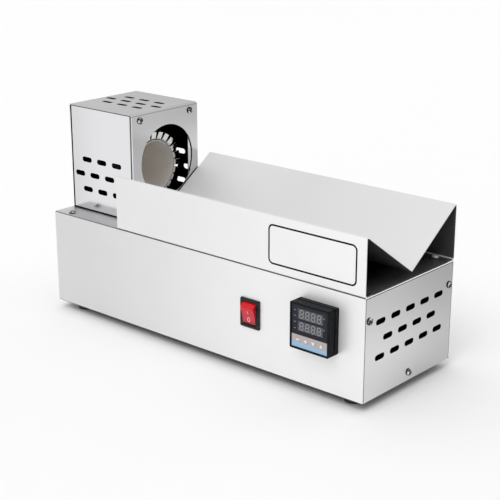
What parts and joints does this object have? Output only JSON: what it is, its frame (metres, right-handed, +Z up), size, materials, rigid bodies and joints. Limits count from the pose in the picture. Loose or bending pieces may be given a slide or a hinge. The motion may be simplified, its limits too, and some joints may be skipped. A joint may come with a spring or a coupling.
{
  "type": "heat shrink machine",
  "caption": "Bench heat shrink machine: sheet steel base box with a V trough, an upright heater head with a round mouth, a panel controller and a rocker switch.",
  "frame": {"origin": "on the floor under the feet, at the middle of the whole outline", "axes": "+X to the right along the front, +Y to the back, +Z up"},
  "size_m": [0.443, 0.17, 0.24],
  "materials": {
    "polished_steel": "polished sheet steel",
    "plain_steel": "mill finish",
    "cup_metal": "dull, heat stained",
    "crown_metal": "bright strip",
    "black_rubber": "matt",
    "dark_seal": "matt",
    "black_plastic": "fine grain",
    "case_plastic": "fine grain",
    "red_plastic": "translucent red",
    "lens_plastic": "tinted window",
    "keypad_film": "printed film",
    "pin_brass": "plated"
  },
  "bodies": {
    "machine": {"base_shell": "polished_steel", "base_floor": "plain_steel", "left_end_panel": "polished_steel", "right_end_panel": "polished_steel", "foot_front_left": "black_rubber", "foot_front_right": "black_rubber", "foot_back_left": "black_rubber", "foot_back_right": "black_rubber", "trough_sheet": "polished_steel", "head_seal": "dark_seal", "head_cover": "polished_steel", "head_front_panel": "polished_steel", "head_back_panel": "polished_steel", "heat_cup": "cup_metal", "tab_crown": "crown_metal", "cup_bracket_rear": "plain_steel", "cup_bracket_front": "plain_steel", "switch_housing": "black_plastic", "controller_case": "case_plastic", "controller_lens": "lens_plastic", "controller_keypad": "keypad_film", "controller_body": "case_plastic", "controller_clamp": "black_plastic", "inlet_body": "black_plastic", "inlet_pins": "pin_brass"},
    "rocker": {"switch_rocker": "red_plastic"}
  },
  "joints": [
    {"name": "rocker_tilt", "type": "hinge", "parent": "machine", "child": "rocker", "pos_m": [0.0793, -0.06655, 0.0676], "axis": [-1, 0, 0], "range_deg": [0, 26]}
  ]
}
